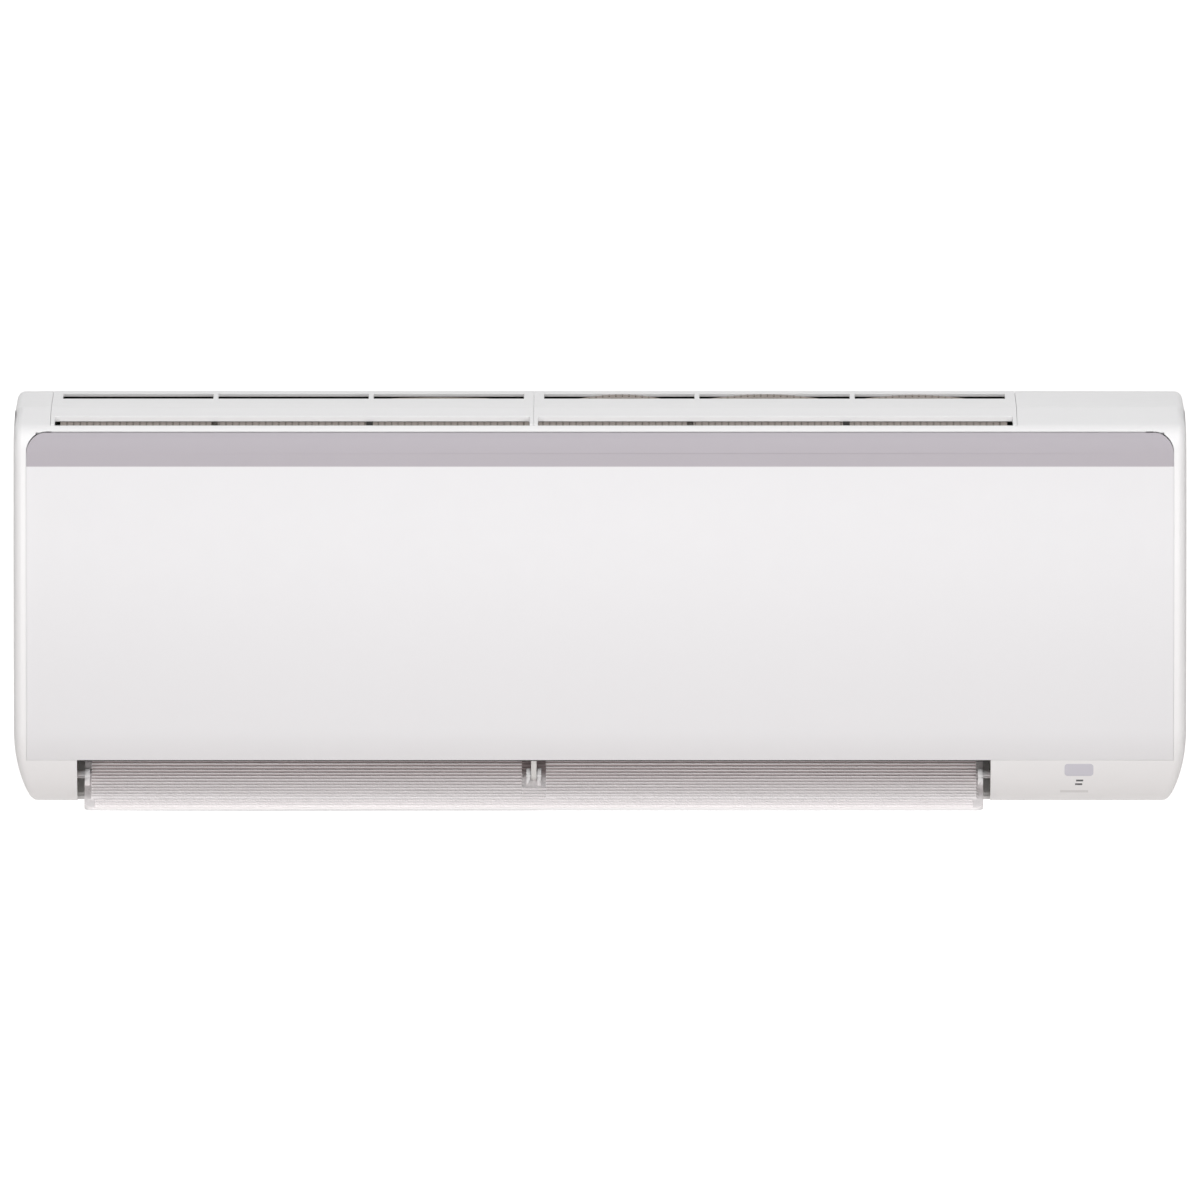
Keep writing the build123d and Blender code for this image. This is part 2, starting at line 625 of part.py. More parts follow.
with BuildPart() as drain_pan:
    section = [
        ROOF_BACK,
        ROOF_FRONT,
        (chin_depth(PAN_KNEE, PAN_INSET), PAN_KNEE),
        (PAN_FRONT, PAN_TOP),
        (PAN_FRONT - PAN_WALL, PAN_TOP),
        (chin_depth(PAN_KNEE, PAN_INSET), PAN_FLOOR),
        (PIVOT_DEPTH, PAN_FLOOR + 2 * PAN_WALL),
        (ROOF_BACK[0] + 5 * PAN_WALL, PAN_LIP),
        (ROOF_BACK[0] + PAN_WALL, PAN_LIP),
    ]
    extrude(side_polygon(section, AIR_LEFT), amount=OUTLET_WIDTH)
drain_pan.part.label = "drain_pan"
export_step(drain_pan.part, "parts/drain_pan.step")

# Duct side: the end wall of the air path, which carries the coils, the fan and the flap's pins.
with BuildPart() as duct_foot:
    extrude(body_section(WALL + FIT), amount=SIDE_THICK)
    foot_depths = (CHANNEL_DEPTH + CUT, SHOULDER_BACK - 2 * FIT)
    add(block(SIDE_THICK / 2, SIDE_THICK, foot_depths, (0, OUTLET_TOP - 2 * FIT)), mode=Mode.INTERSECT)

with BuildPart() as duct_side:
    extrude(body_section(FILTER_INSET + FILTER_THICK + FIT), amount=SIDE_THICK)
    add(duct_foot.part)
    with BuildSketch(Plane.YZ):
        with Locations(side(PIVOT_DEPTH, PIVOT_HEIGHT)):
            Circle(FLAP_PIN_R + PIN_PLAY)
        with Locations(side(FAN_DEPTH, FAN_HEIGHT)):
            Circle(SHAFT_R + PIN_PLAY)
    extrude(amount=SIDE_THICK, mode=Mode.SUBTRACT)
    channel_depths = (0, CHANNEL_DEPTH + FRAME_THICK)
    channel = block(SIDE_THICK / 2, SIDE_THICK, channel_depths, (0, CHANNEL_TOP + FRAME_THICK))
    add(channel, mode=Mode.SUBTRACT)

with BuildPart() as duct_side_left:
    with Locations((AIR_LEFT - SIDE_THICK, 0, 0)):
        add(duct_side.part)
    add(scroll_block.part, mode=Mode.SUBTRACT)
duct_side_left.part.label = "duct_side_left"
export_step(duct_side_left.part, "parts/duct_side_left.step")

with BuildPart() as duct_side_right:
    with Locations((AIR_RIGHT, 0, 0)):
        add(duct_side.part)
    add(scroll_block.part, mode=Mode.SUBTRACT)
duct_side_right.part.label = "duct_side_right"
export_step(duct_side_right.part, "parts/duct_side_right.step")

# Cross-flow fan: bent blades between discs, on a shaft that runs in both duct sides.
FAN_HALF = OUTLET_WIDTH / 2 - FAN_END
BLADE = [
    (-BLADE_CHORD / 2, 0),
    (0, BLADE_BEND),
    (BLADE_CHORD / 2, 0),
    (BLADE_CHORD / 2, -BLADE_THICK),
    (0, BLADE_BEND - BLADE_THICK),
    (-BLADE_CHORD / 2, -BLADE_THICK),
]
with BuildPart() as fan_rotor:
    with BuildSketch(Plane.YZ.offset(AIR_X)):
        with Locations(side(FAN_DEPTH, FAN_HEIGHT)):
            with PolarLocations(FAN_R - BLADE_RIM, FAN_BLADES):
                Polygon(*BLADE, rotation=BLADE_TURN)
    extrude(amount=FAN_HALF, both=True)
    for share in (-1, 0, 1):
        with BuildSketch(Plane.YZ.offset(AIR_X + share * (FAN_HALF - DISC_THICK / 2))):
            with Locations(side(FAN_DEPTH, FAN_HEIGHT)):
                Circle(FAN_R)
                if abs(share) < 1:
                    Circle(FAN_R - 2 * BLADE_RIM, mode=Mode.SUBTRACT)
        extrude(amount=DISC_THICK / 2, both=True)
    for end in (-1, 1):
        with BuildSketch(Plane.YZ.offset(AIR_X + end * FAN_HALF)):
            with Locations(side(FAN_DEPTH, FAN_HEIGHT)):
                Circle(SHAFT_R)
        extrude(amount=end * (FAN_END + SIDE_THICK))
fan_rotor.part.label = "fan_rotor"
export_step(fan_rotor.part, "parts/fan_rotor.step")


def floor_height(depth):
    share = (depth - SCROLL_FOOT[0]) / (SCROLL_LIP[0] - SCROLL_FOOT[0])
    return SCROLL_FOOT[1] + share * (SCROLL_LIP[1] - SCROLL_FOOT[1])


# Upright vanes in the outlet: thin blades on a link bar that ends on the duct side.
def vanes(first, step, bar_start, bar_end):
    rear = FOOT_DEPTH + 3 * VANE_LIFT
    middle = rear + 4 * VANE_LIFT
    blade = [
        (rear, floor_height(rear) + VANE_LIFT),
        (middle, floor_height(middle) + VANE_LIFT),
        (FLAP_BACK, PAN_KNEE + PAN_WALL),
        (FLAP_BACK - PAN_WALL, ROOF_HIGH - 2 * VANE_LIFT),
        (rear + VANE_LIFT, floor_height(rear) + 3 * VANE_LIFT),
    ]
    with BuildPart() as group:
        for i in range(VANE_COUNT):
            extrude(side_polygon(blade, first + i * step), amount=VANE_THICK)
        with BuildSketch(Plane.YZ.offset(bar_start)):
            with Locations(side(middle, floor_height(middle) + 4 * VANE_LIFT)):
                Rectangle(VANE_LIFT, 2 * VANE_LIFT / 3)
        extrude(amount=bar_end - bar_start)
    return group.part


VANE_STEP = (OUTLET_WIDTH / 2 - 2 * VANE_START - VANE_THICK) / (VANE_COUNT - 1)
with BuildPart() as vanes_left:
    add(vanes(AIR_LEFT + VANE_START, VANE_STEP, AIR_LEFT, AIR_X - VANE_START))
vanes_left.part.label = "vanes_left"
export_step(vanes_left.part, "parts/vanes_left.step")

with BuildPart() as vanes_right:
    add(vanes(AIR_RIGHT - VANE_START - VANE_THICK, -VANE_STEP, AIR_X + VANE_START, AIR_RIGHT))
vanes_right.part.label = "vanes_right"
export_step(vanes_right.part, "parts/vanes_right.step")

# Flap bracket: a fin that hangs from the roof of the outlet and holds the flap's middle pin.
with BuildPart() as flap_bracket:
    with BuildSketch(Plane.YZ.offset(AIR_X)):
        with BuildLine():
            Polyline(
                side(PIVOT_DEPTH - BRACKET_R, PIVOT_HEIGHT),
                side(PIVOT_DEPTH + BRACKET_R, PIVOT_HEIGHT),
                side(PIVOT_DEPTH + 3 * BRACKET_R, roof_height(PIVOT_DEPTH + 3 * BRACKET_R)),
                side(PIVOT_DEPTH - 2 * BRACKET_R, roof_height(PIVOT_DEPTH - 2 * BRACKET_R)),
                close=True,
            )
        make_face()
        with Locations(side(PIVOT_DEPTH, PIVOT_HEIGHT)):
            Circle(BRACKET_R)
            Circle(MIDDLE_PIN_R + PIN_PLAY, mode=Mode.SUBTRACT)
    extrude(amount=BRACKET_THICK / 2, both=True)
flap_bracket.part.label = "flap_bracket"
export_step(flap_bracket.part, "parts/flap_bracket.step")

# Front panel: the hinged white cover, stepped back at the top to take the band.
with BuildPart() as panel_band:
    extrude(panel_outline(0, 0), amount=REACH)
    extrude(body_section(0), amount=HALF, both=True, mode=Mode.INTERSECT)
    extrude(body_section(BAND_THICK), amount=HALF, both=True, mode=Mode.SUBTRACT)
    band = block(0, BODY_WIDTH, (RIDGE_DEPTH, BODY_DEPTH), (PANEL_TOP - BAND_HEIGHT, BODY_HEIGHT))
    add(band, mode=Mode.INTERSECT)
panel_band.part.label = "panel_band"
export_step(panel_band.part, "parts/panel_band.step")

with BuildPart() as front_panel:
    extrude(panel_outline(0, 0), amount=REACH)
    extrude(body_section(0), amount=HALF, both=True, mode=Mode.INTERSECT)
    extrude(body_section(PANEL_THICK), amount=HALF, both=True, mode=Mode.SUBTRACT)
    add(panel_band.part, mode=Mode.SUBTRACT)
    above = block(0, BODY_WIDTH, (RIDGE_DEPTH, BODY_DEPTH), (PANEL_TOP - BAND_FREE, BODY_HEIGHT))
    add(above, mode=Mode.SUBTRACT)
front_panel.part.label = "front_panel"
export_step(front_panel.part, "parts/front_panel.step")


# Panel arm: a bent lug behind the panel that carries its hinge pin inside the casing's shoulder.
def panel_arm(x_mid):
    back = HINGE_DEPTH - HINGE_HUB_R
    front = HINGE_DEPTH + HINGE_HUB_R
    high = HINGE_HEIGHT - ARM_DROP
    low = high - ARM_HEIGHT
    lug = [
        (back, HINGE_HEIGHT),
        (front, HINGE_HEIGHT),
        (front, high),
        (BODY_DEPTH, high),
        (BODY_DEPTH, low),
        (back, low),
    ]
    with BuildPart() as arm:
        extrude(side_polygon(lug, x_mid - ARM_THICK / 2), amount=ARM_THICK)
        extrude(body_section(PANEL_THICK), amount=HALF, both=True, mode=Mode.INTERSECT)
        with BuildSketch(Plane.YZ.offset(x_mid)):
            with Locations(side(HINGE_DEPTH, HINGE_HEIGHT)):
                Circle(HINGE_HUB_R)
        extrude(amount=ARM_THICK / 2, both=True)
        with BuildSketch(Plane.YZ.offset(x_mid)):
            with Locations(side(HINGE_DEPTH, HINGE_HEIGHT)):
                Circle(HINGE_PIN_R)
        extrude(amount=ARM_THICK / 2 + PIN_REACH, both=True)
    return arm.part


with BuildPart() as panel_arm_left:
    add(panel_arm(-ARM_OFFSET))
panel_arm_left.part.label = "panel_arm_left"
export_step(panel_arm_left.part, "parts/panel_arm_left.step")

with BuildPart() as panel_arm_right:
    add(panel_arm(ARM_OFFSET))
panel_arm_right.part.label = "panel_arm_right"
export_step(panel_arm_right.part, "parts/panel_arm_right.step")

# Flap: a hollow-backed blade that continues the casing's chin when closed, ribbed on its inner face.
FLAP_START = AIR_LEFT + FLAP_GAP
FLAP_END = AIR_RIGHT - FLAP_GAP
outer_front = Vector(PIVOT_DEPTH - chin_depth(FLAP_TOP, 0.0), FLAP_TOP - PIVOT_HEIGHT)
back_rise = CHIN_RADIUS - sqrt(CHIN_RADIUS**2 - FLAP_BEHIND**2)
outer_back = Vector(PIVOT_DEPTH - FLAP_BACK, back_rise - PIVOT_HEIGHT)
chin_middle = Vector(PIVOT_FORWARD, CHIN_RADIUS - PIVOT_HEIGHT)
outward = ((outer_front + outer_back) / 2 - chin_middle).normalized()
along = (outer_front - outer_back).normalized()
inner_front = outer_front - (outer_front - chin_middle).normalized() * FLAP_EDGE
inner_back = outer_back - (outer_back - chin_middle).normalized() * FLAP_EDGE
inner_chord = (inner_front - inner_back).length
inner_sag = inner_chord**2 / (8 * FLAP_INNER_RADIUS)


def inner_point(reach):
    share = reach / inner_chord
    return inner_back + along * reach + outward * (4 * inner_sag * share * (1 - share))


def flap_plane(x_start):
    turn = radians(FLAP_OPEN)
    y_origin, z_origin = side(PIVOT_DEPTH, PIVOT_HEIGHT)
    return Plane(origin=(x_start, y_origin, z_origin), x_dir=(0, cos(turn), sin(turn)), z_dir=(1, 0, 0))


with BuildPart() as flap:
    with BuildSketch(flap_plane(FLAP_START)):
        with BuildLine():
            ThreePointArc(outer_front, chin_middle + outward * CHIN_RADIUS, outer_back)
            Line(outer_back, inner_back)
            ThreePointArc(inner_back, inner_point(inner_chord / 2), inner_front)
            Line(inner_front, outer_front)
        make_face()
    extrude(amount=FLAP_END - FLAP_START)
    tip = (outer_front + inner_front) / 2
    tips = [flap_plane(x_end).from_local_coords(tip) for x_end in (FLAP_START, FLAP_END)]
    fillet([flap.edges().sort_by_distance(point)[0] for point in tips], FLAP_CORNER)
    for start, end in ((FLAP_START + RIB_END, AIR_X - PAD_HALF), (AIR_X + PAD_HALF, FLAP_END - RIB_END)):
        with BuildSketch(flap_plane(start)):
            for i in range(RIB_COUNT):
                foot = inner_point(RIB_START + i * RIB_STEP)
                with BuildLine():
                    Polyline(
                        foot - along * RIB_BASE / 2 + outward * RIB_ROOT,
                        foot - along * RIB_BASE / 2,
                        foot - along * RIB_TIP / 2 - outward * RIB_HEIGHT,
                        foot + along * RIB_TIP / 2 - outward * RIB_HEIGHT,
                        foot + along * RIB_BASE / 2,
                        foot + along * RIB_BASE / 2 + outward * RIB_ROOT,
                        close=True,
                    )
                make_face()
        extrude(amount=end - start)
    middle = BRACKET_THICK / 2 + MIDDLE_GAP
    lugs = (
        (FLAP_START, LUG_THICK),
        (FLAP_END - LUG_THICK, LUG_THICK),
        (AIR_X - middle - MIDDLE_LUG, MIDDLE_LUG),
        (AIR_X + middle, MIDDLE_LUG),
    )
    for start, thick in lugs:
        with BuildSketch(flap_plane(start)):
            Circle(LUG_R)
            with BuildLine():
                Polyline(
                    along * LUG_R,
                    outward * LUG_SINK + along * LUG_SPREAD,
                    outward * LUG_SINK - along * LUG_SPREAD,
                    along * -LUG_R,
                    close=True,
                )
            make_face()
        extrude(amount=thick)
    for start, length in ((FLAP_START, -FLAP_GAP - SIDE_THICK), (FLAP_END, FLAP_GAP + SIDE_THICK)):
        with BuildSketch(flap_plane(start)):
            Circle(FLAP_PIN_R)
        extrude(amount=length)
    with BuildSketch(flap_plane(AIR_X)):
        Circle(MIDDLE_PIN_R)
    extrude(amount=middle, both=True)
flap.part.label = "flap"
export_step(flap.part, "parts/flap.step")
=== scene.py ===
import json
import math

import bmesh
import bpy
from mathutils import Matrix, Vector

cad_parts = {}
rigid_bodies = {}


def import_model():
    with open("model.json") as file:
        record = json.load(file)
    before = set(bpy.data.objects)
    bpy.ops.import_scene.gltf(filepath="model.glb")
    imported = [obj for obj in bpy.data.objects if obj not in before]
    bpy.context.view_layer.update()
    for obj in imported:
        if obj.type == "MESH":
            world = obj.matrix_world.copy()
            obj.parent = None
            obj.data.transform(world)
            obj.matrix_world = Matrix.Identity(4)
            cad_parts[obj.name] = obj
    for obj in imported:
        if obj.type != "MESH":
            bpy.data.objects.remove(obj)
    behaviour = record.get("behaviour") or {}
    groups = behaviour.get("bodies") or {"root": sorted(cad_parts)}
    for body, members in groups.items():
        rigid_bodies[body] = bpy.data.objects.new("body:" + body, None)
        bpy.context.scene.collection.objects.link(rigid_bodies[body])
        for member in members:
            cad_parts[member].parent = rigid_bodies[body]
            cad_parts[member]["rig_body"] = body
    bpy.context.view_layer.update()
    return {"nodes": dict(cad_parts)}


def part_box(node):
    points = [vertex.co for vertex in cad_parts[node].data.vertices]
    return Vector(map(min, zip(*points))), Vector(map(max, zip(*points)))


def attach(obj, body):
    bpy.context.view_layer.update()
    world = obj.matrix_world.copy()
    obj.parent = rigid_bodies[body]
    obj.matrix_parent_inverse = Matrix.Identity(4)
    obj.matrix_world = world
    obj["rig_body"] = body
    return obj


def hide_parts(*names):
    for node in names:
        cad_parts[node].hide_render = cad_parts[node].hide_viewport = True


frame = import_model()
nodes = frame["nodes"]

# Wall plate: the galvanised steel sheet that is screwed to the wall and carries the unit on two hooks.
# The zinc shows large, faint crystal flakes and a dull, streaky shine.
MM = 0.001
FLAKE_SIZE = 9 * MM
FLAKE_DARK = (0.50, 0.52, 0.54)
FLAKE_LIGHT = (0.66, 0.67, 0.69)
ZINC_GRAIN = 1.5 * MM
METAL = 0.9


def start_finish(name):
    finish = bpy.data.materials.new(name)
    finish.use_nodes = True
    tree = finish.node_tree
    return finish, tree, tree.nodes["Principled BSDF"]


def pattern(tree, kind, size):
    place = tree.nodes.new("ShaderNodeTexCoord")
    node = tree.nodes.new(kind)
    node.inputs["Scale"].default_value = 1 / size
    tree.links.new(place.outputs["Object"], node.inputs["Vector"])
    return node


def grain(tree, size, detail=2):
    node = pattern(tree, "ShaderNodeTexNoise", size)
    node.inputs["Detail"].default_value = detail
    return node.outputs["Fac"]


def between(tree, factor, low, high, start=0.3, end=0.7):
    node = tree.nodes.new("ShaderNodeMapRange")
    tree.links.new(factor, node.inputs["Value"])
    node.inputs["From Min"].default_value = start
    node.inputs["From Max"].default_value = end
    node.inputs["To Min"].default_value = low
    node.inputs["To Max"].default_value = high
    return node.outputs["Result"]


# Each of the two colours is either three numbers or the output of another node.
def tint(tree, factor, first, second):
    node = tree.nodes.new("ShaderNodeMix")
    node.data_type = "RGBA"
    tree.links.new(factor, node.inputs["Factor"])
    for socket, colour in (("A", first), ("B", second)):
        if isinstance(colour, bpy.types.NodeSocket):
            tree.links.new(colour, node.inputs[socket])
        else:
            node.inputs[socket].default_value = (*colour, 1)
    return node.outputs["Result"]


def relief(tree, shader, height, depth, strength):
    node = tree.nodes.new("ShaderNodeBump")
    node.inputs["Distance"].default_value = depth
    node.inputs["Strength"].default_value = strength
    tree.links.new(height, node.inputs["Height"])
    tree.links.new(node.outputs["Normal"], shader.inputs["Normal"])


def cover(piece, finish):
    piece.data.materials.clear()
    piece.data.materials.append(finish)


zinc, tree, shader = start_finish("galvanised_sheet")
flakes = pattern(tree, "ShaderNodeTexVoronoi", FLAKE_SIZE)
spangle = tree.nodes.new("ShaderNodeSeparateColor")
tree.links.new(flakes.outputs["Color"], spangle.inputs["Color"])
facet = spangle.outputs["Red"]
tree.links.new(tint(tree, facet, FLAKE_DARK, FLAKE_LIGHT), shader.inputs["Base Color"])
tree.links.new(between(tree, facet, 0.32, 0.52, start=0, end=1), shader.inputs["Roughness"])
shader.inputs["Metallic"].default_value = METAL
relief(tree, shader, grain(tree, ZINC_GRAIN), depth=0.1 * MM, strength=0.3)
cover(nodes["wall_plate"], zinc)

# Rear frame: the grey plastic moulding behind everything, with pipe channel and fan scroll.
# It is never seen in use, so it has a plain matt mould finish. The wall plate hooks into it.
TINT_CLOUD = 60 * MM
SHEEN_CLOUD = 12 * MM
SHEEN_DRIFT = 0.04
MOULD_STRENGTH = 0.6


# The mould's grain has this pitch and depth, and the colour drifts by this share from cloud to cloud.
def moulded_plastic(name, colour, roughness, pitch=0, depth=0, drift=0.02, gloss=0.5):
    finish, tree, shader = start_finish(name)
    shader.inputs["Specular IOR Level"].default_value = gloss
    dark = [c * (1 - drift) for c in colour]
    light = [c * (1 + drift) for c in colour]
    shade = tint(tree, grain(tree, TINT_CLOUD, detail=4), dark, light)
    tree.links.new(shade, shader.inputs["Base Color"])
    cloud = grain(tree, SHEEN_CLOUD, detail=4)
    sheen = between(tree, cloud, roughness - SHEEN_DRIFT, roughness + SHEEN_DRIFT)
    tree.links.new(sheen, shader.inputs["Roughness"])
    if depth:
        relief(tree, shader, grain(tree, pitch, detail=3), depth, MOULD_STRENGTH)
    return finish


frame_plastic = moulded_plastic(
    "frame_plastic", (0.66, 0.66, 0.65), roughness=0.6, pitch=1.2 * MM, depth=0.06 * MM, drift=0.03
)
cover(nodes["rear_frame"], frame_plastic)

# Fan: the long cross-flow rotor of bent blades between discs, in dark plastic, on a shaft in the duct ends.
# Only its shade shows behind the outlet.
fan_plastic = moulded_plastic(
    "fan_plastic", (0.10, 0.10, 0.105), roughness=0.45, pitch=2 * MM, depth=0.05 * MM, drift=0.1
)
cover(nodes["fan_rotor"], fan_plastic)

# Duct: end walls with the bearings, and the drain pan whose underside is the roof of the outlet.
# They clip into the rear frame. The walls are coloured dark brown and the pan black as painted shade inside
# the outlet.
duct_shade_plastic = moulded_plastic(
    "duct_shade_plastic", (0.13, 0.115, 0.10), roughness=0.6, pitch=MM, depth=0.05 * MM, drift=0.05, gloss=0.2
)
for name in ("duct_side_left", "duct_side_right"):
    cover(nodes[name], duct_shade_plastic)
pan_shade_plastic = moulded_plastic(
    "pan_shade_plastic", (0.05, 0.048, 0.046), roughness=0.7, pitch=1.5 * MM, depth=0.2 * MM, drift=0.1
)
cover(nodes["drain_pan"], pan_shade_plastic)

# Vanes: upright blades on a link bar that swing the air sideways, and the fin that holds the flap's middle.
# They are thin white mouldings snapped into the outlet.
vane_plastic = moulded_plastic(
    "vane_plastic", (0.74, 0.73, 0.71), roughness=0.5, pitch=0.8 * MM, depth=0.04 * MM
)
for name in ("vanes_left", "vanes_right", "flap_bracket"):
    cover(nodes[name], vane_plastic)

# Heat exchanger: three blocks for thin aluminium fins on copper tubes, leaning on each other over the fan.
# The bare metal is dull and a little cloudy. The duct ends carry the blocks.
FIN_DARK = (0.50, 0.52, 0.54)
FIN_LIGHT = (0.62, 0.63, 0.65)
FIN_CLOUD = 30 * MM
FIN_GRAIN = 6 * MM
aluminium, tree, shader = start_finish("fin_aluminium")
tree.links.new(tint(tree, grain(tree, FIN_CLOUD), FIN_DARK, FIN_LIGHT), shader.inputs["Base Color"])
tree.links.new(between(tree, grain(tree, FIN_GRAIN), 0.35, 0.5), shader.inputs["Roughness"])
shader.inputs["Metallic"].default_value = METAL
for name in ("coil_front", "coil_upper", "coil_rear"):
    cover(nodes[name], aluminium)

# Air filters: two bent frames that slide in over the heat exchanger, from the back of the top to the
# front. Each holds a fine brown-grey net, ribbed every 5 mm, which bulges up in some bays of the intake.
# The net is a grid bent along the frame, and ribs and bars are strips laid on it.
# Frames and bars are coloured black as painted shade, the dark gaps at the frame's bars in the front slot.
scene = bpy.context.scene
# The net lies a fixed distance inside the casing, whose section is a flat top as far as the ridge, a slope,
# the arc of the shoulder and the arc of the front. Places are depth from the wall and height, in mm.
FRAME_TOP = 298.0
HALF_HEIGHT = 149.0
NET_INSET = 11.2
NET_BACK = 21.5
NET_LOW = 75.0
RIDGE = 150.0
SLOPE = math.atan(0.16)
SHOULDER = (195.635, 264.368)
SHOULDER_R = 26.0 - NET_INSET
FRONT_MIDDLE = (-471.0, 165.0)
FRONT_R = 700.0 - NET_INSET
ridge_end = RIDGE - NET_INSET * math.tan(SLOPE / 2)
slope_end = SHOULDER[0] + SHOULDER_R * math.sin(SLOPE)
front_start = math.atan2(SHOULDER[1] - FRONT_MIDDLE[1], SHOULDER[0] - FRONT_MIDDLE[0])
front_end = math.asin((NET_LOW - FRONT_MIDDLE[1]) / FRONT_R)
flat_run = ridge_end - NET_BACK
slope_run = (slope_end - ridge_end) / math.cos(SLOPE)
bend_run = SHOULDER_R * (math.pi / 2 - SLOPE - front_start)
front_run = FRONT_R * (front_start - front_end)
NET_RUN = flat_run + slope_run + bend_run + front_run
# Middle of each bulge across the unit, half its width where it shows, and how far its top stays under the
# casing's top. It has its shown height at that half width, fades out over the foot beyond it, and is
# highest at one depth, from where it reaches as far back as forward.
BULGES = ((15.5, 30.0, 0.2), (125.0, 40.0, 0.1), (239.0, 37.0, 0.6), (-121.0, 36.0, 2.4))
BULGE_FOOT = 9.0
BULGE_SHOWN = 8.2
BULGE_DEPTH = 31.0
BULGE_REACH = 10.0
BULGE_POINT = 1.2
# At the front slot of the intake the net stands up by this much, rising and falling over this run.
FRONT_LIFT = 6.7
LIFT_RUN = 9.0
LIFT_AHEAD = 36.0
lift_start = flat_run + slope_run - LIFT_AHEAD
lift_end = flat_run + slope_run + bend_run


def at(x, depth, height):
    return Vector((x * MM, -depth * MM, (height - HALF_HEIGHT) * MM))


def ease(value):
    value = min(max(value, 0), 1)
    return value * value * (3 - 2 * value)


def bulge(x, depth):
    rise = 0
    for middle, half_width, under in BULGES:
        top = NET_INSET - under
        away = abs(x - middle)
        if away < half_width:
            across = BULGE_SHOWN + (top - BULGE_SHOWN) * math.cos(away / half_width * math.pi / 2)
        else:
            across = BULGE_SHOWN * (1 - ease((away - half_width) / BULGE_FOOT))
        along = min(abs(depth - BULGE_DEPTH) / BULGE_REACH, 1)
        rise = max(rise, across * math.cos(along * math.pi / 2) ** BULGE_POINT)
    return rise


def net_place(x, run):
    lift = FRONT_LIFT * ease((run - lift_start) / LIFT_RUN)
    lift *= ease((lift_end + LIFT_RUN - run) / (2 * LIFT_RUN))
    if run < flat_run:
        depth = NET_BACK + run
        return depth, FRAME_TOP - NET_INSET + bulge(x, depth)
    run -= flat_run
    if run < slope_run:
        depth = ridge_end + run * math.cos(SLOPE) + lift * math.sin(SLOPE)
        return depth, FRAME_TOP - NET_INSET - run * math.sin(SLOPE) + lift * math.cos(SLOPE)
    run -= slope_run
    if run < bend_run:
        turn = math.pi / 2 - SLOPE - run / SHOULDER_R
        middle, radius = SHOULDER, SHOULDER_R + lift
    else:
        turn = front_start - (run - bend_run) / FRONT_R
        middle, radius = FRONT_MIDDLE, FRONT_R + lift
    return middle[0] + radius * math.cos(turn), middle[1] + radius * math.sin(turn)


def new_piece(name, mesh, body):
    data = bpy.data.meshes.new(name)
    mesh.to_mesh(data)
    mesh.free()
    piece = bpy.data.objects.new(name, data)
    scene.collection.objects.link(piece)
    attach(piece, body)
    return piece


def stripes(tree, coordinate, count, width):
    scale = tree.nodes.new("ShaderNodeMath")
    scale.operation = "MULTIPLY"
    scale.inputs[1].default_value = count
    tree.links.new(coordinate, scale.inputs[0])
    wave = tree.nodes.new("ShaderNodeMath")
    wave.operation = "PINGPONG"
    wave.inputs[1].default_value = 0.5
    tree.links.new(scale.outputs["Value"], wave.inputs[0])
    return between(tree, wave.outputs["Value"], 1, 0, start=width / 2, end=width)


def greater_of(tree, first, second):
    node = tree.nodes.new("ShaderNodeMath")
    node.operation = "MAXIMUM"
    tree.links.new(first, node.inputs[0])
    tree.links.new(second, node.inputs[1])
    return node.outputs["Value"]


NET_WIDTH = 355.0
THREAD_PITCH = 1.0
THREAD_SHARE = 0.3
COARSE_PITCH = 5.0
COARSE_SHARE = 0.12
HOLE_BROWN = (0.19, 0.155, 0.135)
THREAD_GREY = (0.45, 0.41, 0.38)
COARSE_BROWN = (0.16, 0.13, 0.115)
DULL = 0.1
net_cloth, tree, shader = start_finish("net_cloth")
spread = tree.nodes.new("ShaderNodeUVMap")
spread.uv_map = "UVMap"
split = tree.nodes.new("ShaderNodeSeparateXYZ")
tree.links.new(spread.outputs["UV"], split.inputs["Vector"])
threads = greater_of(
    tree,
    stripes(tree, split.outputs["X"], NET_WIDTH / THREAD_PITCH, THREAD_SHARE),
    stripes(tree, split.outputs["Y"], NET_RUN / THREAD_PITCH, THREAD_SHARE),
)
coarse = stripes(tree, split.outputs["Y"], NET_RUN / COARSE_PITCH, COARSE_SHARE)
weave = tint(tree, threads, HOLE_BROWN, THREAD_GREY)
tree.links.new(tint(tree, coarse, weave, COARSE_BROWN), shader.inputs["Base Color"])
shader.inputs["Roughness"].default_value = 0.7
shader.inputs["Specular IOR Level"].default_value = DULL
relief(tree, shader, threads, depth=0.2 * MM, strength=0.5)
filter_shade_plastic = moulded_plastic(
    "filter_shade_plastic", (0.02, 0.018, 0.017), roughness=0.7, drift=0.1, gloss=DULL
)
net_rib_plastic = moulded_plastic(
    "net_rib_plastic", (0.085, 0.07, 0.06), roughness=0.7, drift=0.1, gloss=DULL
)
NET_CELLS = (142, 150)
STRIP_CELLS = 130
NET_RIB_PITCH = 5.0
NET_RIB_WIDTH = 0.9
NET_RIB_RISE = 0.5 * MM
# Black bars of painted shade, laid on the net where the frame's bars are.
BARS = (-291.0, -174.0, 68.0, 186.0)
BAR_WIDTH = 5.0
BAR_RISE = 0.8 * MM


def net_strips(name, places, width, rise, finish):
    mesh = bmesh.new()
    for x in places:
        made = bmesh.ops.create_grid(mesh, x_segments=1, y_segments=STRIP_CELLS, size=0.5)
        for vert in made["verts"]:
            vert.co = at(x + vert.co.x * width, *net_place(x, (vert.co.y + 0.5) * NET_RUN))
    bmesh.ops.recalc_face_normals(mesh, faces=mesh.faces)
    bmesh.ops.solidify(mesh, geom=mesh.faces[:], thickness=rise)
    cover(new_piece(name, mesh, "unit"), finish)


